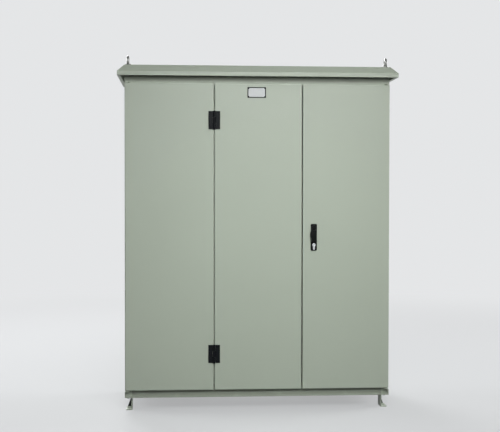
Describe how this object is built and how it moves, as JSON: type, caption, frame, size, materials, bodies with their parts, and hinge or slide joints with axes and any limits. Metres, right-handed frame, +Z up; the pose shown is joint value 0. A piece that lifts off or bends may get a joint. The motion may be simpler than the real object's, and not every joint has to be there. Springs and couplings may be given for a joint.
{
  "type": "control cabinet",
  "caption": "Free-standing outdoor control cabinet: folded steel body with a bevelled rain roof, lifting eyes, angle feet, hinged leaves, a swing-handle rod lock and control gear inside.",
  "frame": {"origin": "floor level, under the middle of the roof", "axes": "+Z up, the leaves face -Y, +X to the right of someone facing the leaves"},
  "size_m": [1.396, 0.568, 1.7694],
  "materials": {
    "paint": "satin grey-green paint",
    "zinc_plate": "bright zinc plate",
    "eye_steel": "zinc plate",
    "bright_steel": "turned steel",
    "gland_plastic": "moulded",
    "duct_plastic": "moulded",
    "switch_case": "moulded",
    "black_plastic": "moulded",
    "relay_case": "moulded",
    "core_steel": "varnished laminations",
    "terminal_plastic": "moulded",
    "earth_copper": "bare copper",
    "seal_rubber": "foamed",
    "hinge_black": "black powder coat",
    "plate_metal": "anodised",
    "guide_plastic": "moulded",
    "lock_black": "black powder coat",
    "lock_chrome": "polished",
    "case_zinc": "die cast"
  },
  "bodies": {
    "cabinet": {"left_side": "paint", "right_side": "paint", "back_panel": "paint", "top_deck": "paint", "header": "paint", "sill": "paint", "rear_header": "paint", "rear_sill": "paint", "floor_panel": "paint", "gland_plate": "zinc_plate", "cable_glands": "gland_plastic", "roof": "paint", "roof_spacers": "zinc_plate", "front_eyes": "eye_steel", "rear_eyes": "eye_steel", "feet": "paint", "foot_bolts": "zinc_plate", "pivot_lugs": "paint", "back_screws": "bright_steel", "plate_standoffs": "zinc_plate", "mounting_plate": "zinc_plate", "mounting_rails": "zinc_plate", "wiring_ducts": "duct_plastic", "main_switch": "switch_case", "contactors": "switch_case", "relays": "relay_case", "transformer": "core_steel", "terminal_strip": "terminal_plastic", "earth_bar": "earth_copper"},
    "left_leaf": {"left_leaf": "paint", "left_stiffener": "paint", "left_seal": "seal_rubber", "left_pivot_pins": "paint", "rain_strip": "paint", "fixed_wings": "hinge_black", "hinge_pins": "hinge_black"},
    "centre_leaf": {"centre_leaf": "paint", "centre_stiffener": "paint", "centre_seal": "seal_rubber", "moving_wings": "hinge_black", "nameplate": "plate_metal", "bolt_guides": "guide_plastic"},
    "upper_bolt": {"upper_bolt": "zinc_plate"},
    "lower_bolt": {"lower_bolt": "zinc_plate"},
    "right_leaf": {"right_leaf": "paint", "right_stiffener": "paint", "right_seal": "seal_rubber", "right_pivot_pins": "paint", "lock_dish": "lock_black", "lock_cylinder": "lock_chrome", "lock_case": "case_zinc", "rod_guides": "guide_plastic"},
    "key_plug": {"key_plug": "lock_chrome"},
    "handle": {"lock_hub": "lock_black", "lock_pinion": "bright_steel", "lever_pin": "hinge_black"},
    "lever": {"lock_lever": "lock_black"},
    "upper_rod": {"upper_rod": "zinc_plate"},
    "lower_rod": {"lower_rod": "zinc_plate"},
    "switch_toggle": {"switch_toggle": "black_plastic"}
  },
  "joints": [
    {"name": "left_leaf_swing", "type": "hinge", "parent": "cabinet", "child": "left_leaf", "pos_m": [-0.65, -0.239, 0.8665], "axis": [0, 0, -1], "range_deg": [0, 110]},
    {"name": "centre_leaf_swing", "type": "hinge", "parent": "left_leaf", "child": "centre_leaf", "pos_m": [-0.22, -0.2565, 0.8665], "axis": [0, 0, -1], "range_deg": [0, 170]},
    {"name": "right_leaf_swing", "type": "hinge", "parent": "cabinet", "child": "right_leaf", "pos_m": [0.65, -0.239, 0.8665], "axis": [0, 0, 1], "range_deg": [0, 110]},
    {"name": "handle_turn", "type": "hinge", "parent": "right_leaf", "child": "handle", "pos_m": [0.278, -0.258, 0.915], "axis": [0, -1, 0], "range_deg": [0, 90]},
    {"name": "lever_tilt", "type": "hinge", "parent": "handle", "child": "lever", "pos_m": [0.278, -0.2655, 0.915], "axis": [-1, 0, 0], "range_deg": [0, 35]},
    {"name": "key_turn", "type": "hinge", "parent": "right_leaf", "child": "key_plug", "pos_m": [0.278, -0.25, 0.8275], "axis": [0, -1, 0], "range_deg": [0, 90]},
    {"name": "upper_rod_slide", "type": "slide", "parent": "right_leaf", "child": "upper_rod", "axis": [0, 0, -1], "range_m": [0, 0.0189]},
    {"name": "lower_rod_slide", "type": "slide", "parent": "right_leaf", "child": "lower_rod", "axis": [0, 0, 1], "range_m": [0, 0.0189]},
    {"name": "upper_bolt_slide", "type": "slide", "parent": "centre_leaf", "child": "upper_bolt", "axis": [0, 0, 1], "range_m": [0, 0.018]},
    {"name": "lower_bolt_slide", "type": "slide", "parent": "centre_leaf", "child": "lower_bolt", "axis": [0, 0, -1], "range_m": [0, 0.018]},
    {"name": "switch_rock", "type": "hinge", "parent": "cabinet", "child": "switch_toggle", "pos_m": [-0.4365, 0.1155, 1.42175], "axis": [-1, 0, 0], "range_deg": [0, 44]}
  ],
  "couplings": [
    {"joint": "upper_rod_slide", "follows": "handle_turn", "m_per_rad": 0.012},
    {"joint": "lower_rod_slide", "follows": "handle_turn", "m_per_rad": 0.012}
  ]
}
